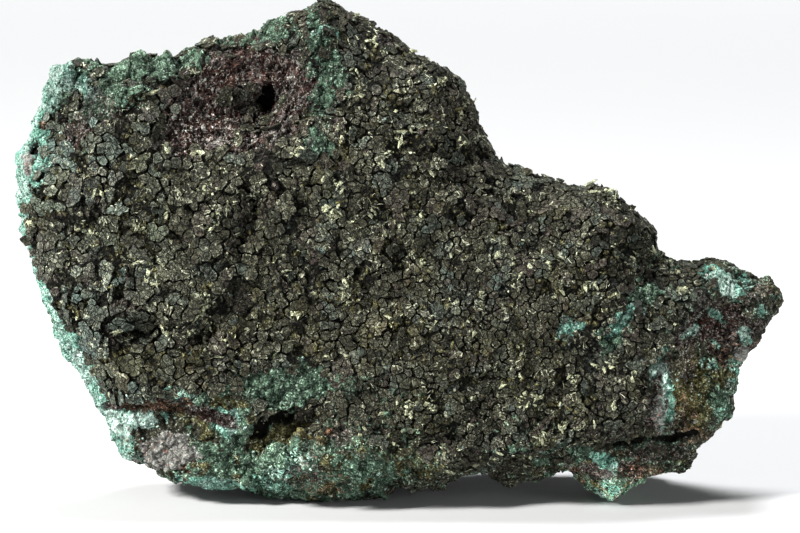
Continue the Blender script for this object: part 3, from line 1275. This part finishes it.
class SPECIMEN_OT_crumbs(bpy.types.Operator):
    """Scatters clusters of pale yellow-green chips and small dark ones on the crust"""
    bl_idname = "specimen.crumbs"
    bl_label = "Chips"

    def execute(self, context):
        ground = Ground(count=90000, seed=12)
        face, random = ground.face, ground.random
        pale = smooth_step(0.50, 0.68, crumb_clusters(face) + 0.15 * ground.shares["olive"])
        rightward = 0.55 + 0.4 * smooth_step(-50, 0, ground.seen[:, 0])
        wanted = ground.shares["crust"] * (0.015 + rightward * pale) > random.random(len(face))
        chosen = ground.spaced(np.full(len(face), CHIP_SPACING), wanted)
        count = len(chosen)
        size = CHIP_SIZE + CHIP_SIZE_SPREAD * random.random(count) ** 1.8
        values = lump_values(ground, chosen)
        values["crumbs"] = (0.1 + 1.3 * random.random(count)) * (pale[chosen] > 0.4 * random.random(count))
        values["shade"] = 0.3 + 0.5 * random.random(count)
        values["light"] = ground.shares["light"][chosen] - 0.8 * random.random(count)
        settings = {"jag": 0.45, "slope": 1.0, "tilt": 1.0, "flat": 0.45, "long": 2.2, "sink": -0.6}
        set_lumps("crumbs", ground, chosen, size, 4, [(0.9, -0.9), (0.75, 0.6)], settings, values)
        return {"FINISHED"}


class SPECIMEN_OT_granules(bpy.types.Operator):
    """Sets grains of malachite, verdigris, cuprite and rust beyond the crust"""
    bl_idname = "specimen.granules"
    bl_label = "Granules"

    def execute(self, context):
        sizes = context.scene.specimen_sizes
        ground = Ground(count=100000, seed=14)
        face, random = ground.face, ground.random
        spacing = sizes.granule * (0.55 + 1.2 * hashed(np.floor(face / 3.0), 132) ** 2)
        wanted = (1 - ground.shares["crust"]) * (0.25 + 0.75 * ground.shares["front"]) > (
            random.random(len(face)) * 0.9 + 0.08)
        wanted &= ground.places[:, 2] > 0.001
        chosen = ground.spaced(spacing, wanted)
        chosen = chosen[random.random(len(chosen)) < 0.5]
        size = spacing[chosen] * (0.28 + 0.25 * random.random(len(chosen)))
        rings = [(0.85, -0.6), (0.95, 0.1), (0.55, 0.65)]
        settings = {"jag": 0.22, "slope": 0.5, "tilt": 0.6, "flat": 0.85, "long": 1.4, "sink": 0.1}
        values = lump_values(ground, chosen)
        stray = random.random(len(chosen))
        values["light"] = ground.shares["light"][chosen]
        values["pale"] = ground.shares["pale"][chosen] + 0.7 * (stray > 0.90)
        values["verdigris"] = np.maximum(values["verdigris"], stray > 0.95)
        values["clay"] = np.maximum(values["clay"], (stray < 0.06) * 0.8)
        set_lumps("granules", ground, chosen, size, 4, rings, settings, values)
        return {"FINISHED"}


class SPECIMEN_OT_needles(bpy.types.Operator):
    """Scatters sprays of fine pale needles that lie on the crust"""
    bl_idname = "specimen.needles"
    bl_label = "Pale needles"

    def execute(self, context):
        """A needle is a three-sided bar along its run, bent sideways by the square of the run."""
        sizes, colours = context.scene.specimen_sizes, context.scene.specimen_colours
        ground = Ground(count=60000, seed=16)
        face, random = ground.face, ground.random
        sprays = smooth_noise(face, 3.5, 150) + 0.3 * smooth_noise(face, 12.0, 151)
        sprays = smooth_step(0.45, 0.8, sprays)
        wanted = ground.shares["crust"] * sprays * 0.28 > random.random(len(face))
        chosen = ground.spaced(np.full(len(face), NEEDLE_SPACING), wanted)
        count = len(chosen)
        rings = [(0.4, -1.0), (1.0, -0.2), (0.9, 0.4), (0.3, 1.0)]
        shape = many_sided(count, 3, rings, random, 0.1, 0.0)
        first, second, up = frames_at(ground.normals[chosen], random, 0.35)
        half = sizes.needle * (0.2 + 0.35 * random.random(count) ** 2)
        bend = 0.3 * (random.random(count) - 0.5)
        run = shape[..., 2]
        lift = NEEDLE_LIFT + NEEDLE_LIFT_SPREAD * random.random(count)
        centre = ground.places[chosen] + up * lift[:, None]
        aside = shape[..., 0] * NEEDLE_THICKNESS + bend[:, None, None] * run ** 2 * half[:, None, None]
        points = (
            centre[:, None, None]
            + (run * half[:, None, None])[..., None] * first[:, None, None]
            + aside[..., None] * second[:, None, None]
            + shape[..., 1:2] * NEEDLE_THICKNESS * 1.4 * up[:, None, None]
        ).reshape(-1, 3)
        loops, lengths = lump_faces(count, 3, len(rings))
        mesh = joined_mesh("needles", points, loops, lengths)
        set_values(mesh, "shade", np.repeat(random.random(count), 3 * len(rings)))
        finished("needles", mesh, needle_material("needle_finish", colours))
        return {"FINISHED"}


class SPECIMEN_OT_stage(bpy.types.Operator):
    """Adds the pale floor, the lights and the camera"""
    bl_idname = "specimen.stage"
    bl_label = "Stage"

    def execute(self, context):
        self.floor(context.scene.specimen_colours.floor)
        self.lights()
        self.camera()
        return {"FINISHED"}

    def floor(self, colour_value):
        """A round sheet, level to the turn and then curved up all round, so any side has it behind.

        A point lies at a length of run from the middle: straight, then round an arc, then
        straight up. The far part glows a little, as paper does in a lit tent.
        """
        turn, radius, rings, around = 2.7, 0.35, 48, 48
        run = np.linspace(0.05, 3.6, rings)
        over = np.clip((run - turn) / radius, 0, math.pi / 2)
        reach = np.where(run < turn, run, turn + radius * np.sin(over))
        rise = radius * (1 - np.cos(over)) + np.clip(run - turn - radius * math.pi / 2, 0, None)
        turns = np.arange(around) * math.pi / (around / 2)
        points = np.stack(np.broadcast_arrays(
            reach[:, None] * np.cos(turns), reach[:, None] * np.sin(turns), rise[:, None]), -1)
        ring = np.arange((rings - 1) * around).reshape(rings - 1, around)
        after = np.roll(ring, -1, 1)
        quads = np.stack((ring, ring + around, after + around, after), -1)
        loops = np.concatenate((np.arange(around), quads.ravel()))
        lengths = np.array([around] + [4] * ring.size)
        mesh = joined_mesh("floor", points.reshape(-1, 3), loops, lengths)
        mesh.polygons.foreach_set("use_smooth", np.ones(len(mesh.polygons), bool))
        obj = bpy.data.objects.new("floor", mesh)
        bpy.context.scene.collection.objects.link(obj)
        shader = Shader("floor_paper")
        away = shader.add("VectorMath", {"operation": "LENGTH"}, {0: shader.place()}, "Value")
        far = tuple(0.78 * c for c in colour_value[:3]) + (1.0,)
        tone = shader.mix(colour_value, far, away.between(0.14, 0.50))
        glow = shader.mix((0.0, 0.0, 0.0, 1.0), (0.62, 0.63, 0.64, 1.0), away.between(0.7, 2.4))
        mesh.materials.append(shader.finish(
            base_color=tone, roughness=0.8, emission_color=glow, emission_strength=1.0))

    def lights(self):
        """A key from the upper left, a soft fill at the right, and a top light behind."""
        aim = Vector((0, 0, 0.06))
        for name, place, size, power, tint in (
            ("key", (-0.88, -0.50, 0.70), 0.20, 41.0, (1.0, 0.985, 0.96)),
            ("top", (0.09, 0.77, 2.40), 0.86, 112.0, (1.0, 1.0, 1.0)),
            ("fill", (0.95, -0.75, 0.18), 0.50, 4.0, (1.0, 1.0, 1.0)),
        ):
            data = bpy.data.lights.new(name, "AREA")
            data.size = size
            data.energy = power
            data.color = tint
            light = bpy.data.objects.new(name, data)
            light.location = place
            light.rotation_euler = (aim - Vector(place)).to_track_quat("-Z", "Y").to_euler()
            bpy.context.scene.collection.objects.link(light)
        world = bpy.data.worlds.new("studio")
        world.use_nodes = True
        world.node_tree.nodes["Background"].inputs["Color"].default_value = (0.95, 0.97, 1.0, 1.0)
        world.node_tree.nodes["Background"].inputs["Strength"].default_value = 0.045
        bpy.context.scene.world = world
        bpy.context.scene.view_settings.view_transform = "Standard"

    def camera(self):
        """Square to the leaning face, so that one pixel of the image is PIXEL on its rim."""
        data = bpy.data.cameras.new("camera")
        data.sensor_width = SENSOR
        data.lens = SENSOR / IMAGE[0] * CAMERA_DISTANCE / PIXEL
        data.clip_start = 0.05
        data.clip_end = 20.0
        camera = bpy.data.objects.new("camera", data)
        height = CENTRE_HEIGHT * MM
        zero = FACE_ZERO * MM
        aim = Vector((zero[0], zero[1] + height * math.sin(LEAN), zero[2] + height * math.cos(LEAN)))
        away = Vector((0, -math.cos(LEAN), math.sin(LEAN))) * CAMERA_DISTANCE * MM
        camera.location = aim + away
        camera.rotation_euler = (-away).to_track_quat("-Z", "Y").to_euler()
        bpy.context.scene.collection.objects.link(camera)
        bpy.context.scene.camera = camera


class SPECIMEN_PT_panel(bpy.types.Panel):
    """Lists the steps that build the specimen"""
    bl_label = "Copper ore specimen"
    bl_idname = "SPECIMEN_PT_panel"
    bl_space_type = "VIEW_3D"
    bl_region_type = "UI"
    bl_category = "Specimen"

    def draw(self, context):
        layout = self.layout
        for group in (context.scene.specimen_sizes, context.scene.specimen_colours):
            box = layout.box()
            for key in group.__annotations__:
                box.prop(group, key)
        for operator in OPERATORS:
            layout.operator(operator.bl_idname)


GROUPS = (SpecimenSizes, SpecimenColours)
OPERATORS = (
    SPECIMEN_OT_stage, SPECIMEN_OT_front, SPECIMEN_OT_back, SPECIMEN_OT_crust,
    SPECIMEN_OT_crumbs, SPECIMEN_OT_granules, SPECIMEN_OT_needles,
)


def register():
    for cls in GROUPS + OPERATORS + (SPECIMEN_PT_panel,):
        bpy.utils.register_class(cls)
    bpy.types.Scene.specimen_sizes = PointerProperty(type=SpecimenSizes)
    bpy.types.Scene.specimen_colours = PointerProperty(type=SpecimenColours)


def unregister():
    del bpy.types.Scene.specimen_colours
    del bpy.types.Scene.specimen_sizes
    for cls in reversed(GROUPS + OPERATORS + (SPECIMEN_PT_panel,)):
        bpy.utils.unregister_class(cls)


def main():
    """Builds the specimen and its stage."""
    register()
    for operator in OPERATORS:
        group, step = operator.bl_idname.split(".")
        getattr(getattr(bpy.ops, group), step)()


if __name__ == "__main__":
    main()
